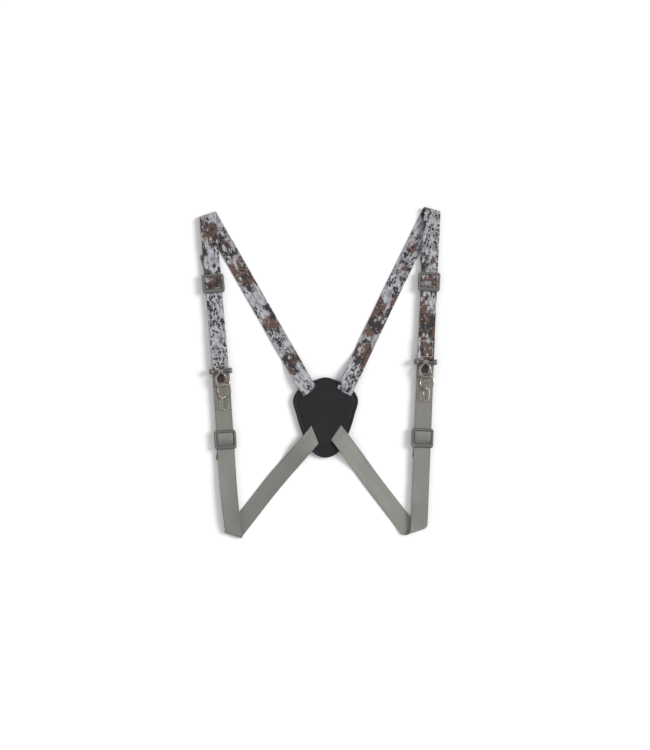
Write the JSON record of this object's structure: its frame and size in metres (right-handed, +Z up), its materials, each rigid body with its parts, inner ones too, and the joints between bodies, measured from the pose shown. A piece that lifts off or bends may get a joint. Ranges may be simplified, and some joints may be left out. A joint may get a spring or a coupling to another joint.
{
  "type": "binocular harness",
  "caption": "Strap harness that carries a binocular: a back yoke, folded shoulder and side straps with adjusting slides, and hooks with rings and links.",
  "frame": {"origin": "on the surface it lies on, at the middle of its footprint", "axes": "+Y from the side straps' folds to the shoulder folds, +X to the right-hand loop seen face up, +Z up from the surface"},
  "size_m": [0.3534, 0.4858, 0.0179],
  "materials": {
    "yoke": "matte, fine grain",
    "camo_webbing": "woven webbing, printed blotch pattern",
    "grey_elastic": "ribbed elastic webbing",
    "slide_plastic": "satin moulded",
    "hook_plastic": "satin moulded",
    "ring_metal": "polished nickel over brass"
  },
  "bodies": {
    "yoke": {"yoke_back_plate": "yoke", "yoke_core": "yoke", "yoke_front_plate": "yoke", "left_shoulder_anchor_tab": "camo_webbing", "left_side_anchor_tab": "grey_elastic", "right_shoulder_anchor_tab": "camo_webbing", "right_side_anchor_tab": "grey_elastic"},
    "left_loop": {"left_shoulder_strap": "camo_webbing", "left_side_strap": "grey_elastic", "left_web_bar": "hook_plastic"},
    "left_shoulder_slide": {"left_shoulder_slide": "slide_plastic", "left_shoulder_strap_tail": "camo_webbing"},
    "left_side_slide": {"left_side_slide": "slide_plastic", "left_side_strap_tail": "grey_elastic"},
    "left_hook": {"left_snap_hook": "hook_plastic"},
    "left_gate": {"left_hook_gate": "ring_metal"},
    "left_ring": {"left_split_ring": "ring_metal"},
    "left_link": {"left_connector_link": "ring_metal"},
    "right_loop": {"right_shoulder_strap": "camo_webbing", "right_side_strap": "grey_elastic", "right_web_bar": "hook_plastic"},
    "right_shoulder_slide": {"right_shoulder_slide": "slide_plastic", "right_shoulder_strap_tail": "camo_webbing"},
    "right_side_slide": {"right_side_slide": "slide_plastic", "right_side_strap_tail": "grey_elastic"},
    "right_hook": {"right_snap_hook": "hook_plastic"},
    "right_gate": {"right_hook_gate": "ring_metal"},
    "right_ring": {"right_split_ring": "ring_metal"},
    "right_link": {"right_connector_link": "ring_metal"}
  },
  "joints": [
    {"name": "left_loop_swing", "type": "hinge", "parent": "yoke", "child": "left_loop", "pos_m": [-0.00319, -0.10329, 0.00795], "axis": [-0.0357, 0.9994, 0], "range_deg": [0, 75]},
    {"name": "left_shoulder_adjust", "type": "slide", "parent": "left_loop", "child": "left_shoulder_slide", "axis": [-0.0852, 0.9964, 0], "range_m": [-0.045, 0.03]},
    {"name": "left_side_adjust", "type": "slide", "parent": "left_loop", "child": "left_side_slide", "axis": [0.0654, -0.9979, 0], "range_m": [-0.035, 0.03]},
    {"name": "left_hook_swing", "type": "hinge", "parent": "left_loop", "child": "left_hook", "pos_m": [-0.14537, 0.0019, 0.0133], "axis": [-0.9971, -0.0757, 0], "range_deg": [0, 110]},
    {"name": "left_gate_open", "type": "hinge", "parent": "left_hook", "child": "left_gate", "pos_m": [-0.13961, -0.00268, 0.0133], "axis": [0, 0, 1], "range_deg": [-25, 0], "stiffness_Nm_per_rad": 0.02},
    {"name": "left_ring_swing", "type": "hinge", "parent": "left_hook", "child": "left_ring", "pos_m": [-0.14074, -0.01941, 0.0133], "axis": [-0.9971, -0.0757, 0], "range_deg": [0, 60]},
    {"name": "left_link_swing", "type": "hinge", "parent": "left_ring", "child": "left_link", "pos_m": [-0.13934, -0.03786, 0.0133], "axis": [-0.9245, -0.0702, -0.3746], "range_deg": [0, 60]},
    {"name": "right_loop_swing", "type": "hinge", "parent": "yoke", "child": "right_loop", "pos_m": [0.01694, -0.09886, 0.00795], "axis": [-0.1009, -0.9949, 0], "range_deg": [0, 75]},
    {"name": "right_shoulder_adjust", "type": "slide", "parent": "right_loop", "child": "right_shoulder_slide", "axis": [0.0456, 0.999, 0], "range_m": [-0.045, 0.03]},
    {"name": "right_side_adjust", "type": "slide", "parent": "right_loop", "child": "right_side_slide", "axis": [-0.0394, -0.9992, 0], "range_m": [-0.035, 0.03]},
    {"name": "right_hook_swing", "type": "hinge", "parent": "right_loop", "child": "right_hook", "pos_m": [0.15463, 0.0155, 0.0133], "axis": [-0.9991, 0.043, 0], "range_deg": [0, 110]},
    {"name": "right_gate_open", "type": "hinge", "parent": "right_hook", "child": "right_gate", "pos_m": [0.15981, 0.01027, 0.0133], "axis": [0, 0, 1], "range_deg": [-25, 0], "stiffness_Nm_per_rad": 0.02},
    {"name": "right_ring_swing", "type": "hinge", "parent": "right_hook", "child": "right_ring", "pos_m": [0.1567, -0.00621, 0.0133], "axis": [-0.9991, 0.043, 0], "range_deg": [0, 60]},
    {"name": "right_link_swing", "type": "hinge", "parent": "right_ring", "child": "right_link", "pos_m": [0.1559, -0.02469, 0.0133], "axis": [-0.9263, 0.0399, -0.3746], "range_deg": [0, 60]}
  ]
}
